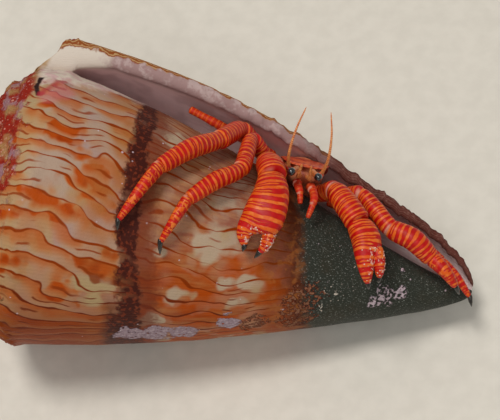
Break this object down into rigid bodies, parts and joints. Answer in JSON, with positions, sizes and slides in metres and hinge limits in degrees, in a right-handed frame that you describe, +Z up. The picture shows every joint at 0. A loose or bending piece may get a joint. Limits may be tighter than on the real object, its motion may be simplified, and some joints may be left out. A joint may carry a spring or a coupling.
{
  "type": "hermit crab in a cone shell",
  "caption": "A striped hermit crab reaching out of the long narrow opening of a tapered, coiled sea shell that lies on its back.",
  "frame": {"origin": "on the floor, under the middle of the whole model's bounding box", "axes": "+X along the shell towards its siphonal end, +Z up, +Y across the shell on the outer lip's side"},
  "size_m": [0.0834, 0.048, 0.0444],
  "materials": {
    "shell": "semi-gloss, patterned and encrusted",
    "limb": "satin, ringed crimson and orange",
    "claw": "polished horn",
    "soft": "moist skin",
    "plate": "satin",
    "stalk": "satin",
    "eye": "wet gloss"
  },
  "bodies": {
    "root": {"abdomen_front": "soft", "abdomen_rear": "soft", "antenna_left": "plate", "antenna_right": "plate", "antenna_whip_left": "stalk", "antenna_whip_right": "stalk", "antennule_left": "stalk", "antennule_right": "stalk", "eye_left": "eye", "eye_right": "eye", "eyestalk_left": "stalk", "eyestalk_right": "stalk", "head": "plate", "leg2_left_carpus": "limb", "leg2_left_claw": "claw", "leg2_left_dactyl": "limb", "leg2_left_merus": "limb", "leg2_left_propodus": "limb", "leg2_right_carpus": "limb", "leg2_right_claw": "claw", "leg2_right_dactyl": "limb", "leg2_right_merus": "limb", "leg2_right_propodus": "limb", "leg3_left_carpus": "limb", "leg3_left_claw": "claw", "leg3_left_dactyl": "limb", "leg3_left_merus": "limb", "leg3_left_propodus": "limb", "leg3_right_carpus": "limb", "leg3_right_claw": "claw", "leg3_right_dactyl": "limb", "leg3_right_merus": "limb", "leg3_right_propodus": "limb", "leg4_left": "limb", "leg4_right": "limb", "leg5_left": "limb", "leg5_right": "limb", "maxilliped_left": "limb", "maxilliped_right": "limb", "pincer_left_carpus": "limb", "pincer_left_finger": "limb", "pincer_left_finger_tip": "claw", "pincer_left_merus": "limb", "pincer_left_palm": "limb", "pincer_left_palm_tip": "claw", "pincer_right_carpus": "limb", "pincer_right_finger": "limb", "pincer_right_finger_tip": "claw", "pincer_right_merus": "limb", "pincer_right_palm": "limb", "pincer_right_palm_tip": "claw", "shell": "shell", "shield": "plate", "tail_fan": "plate", "thorax": "soft"}
  },
  "joints": []
}
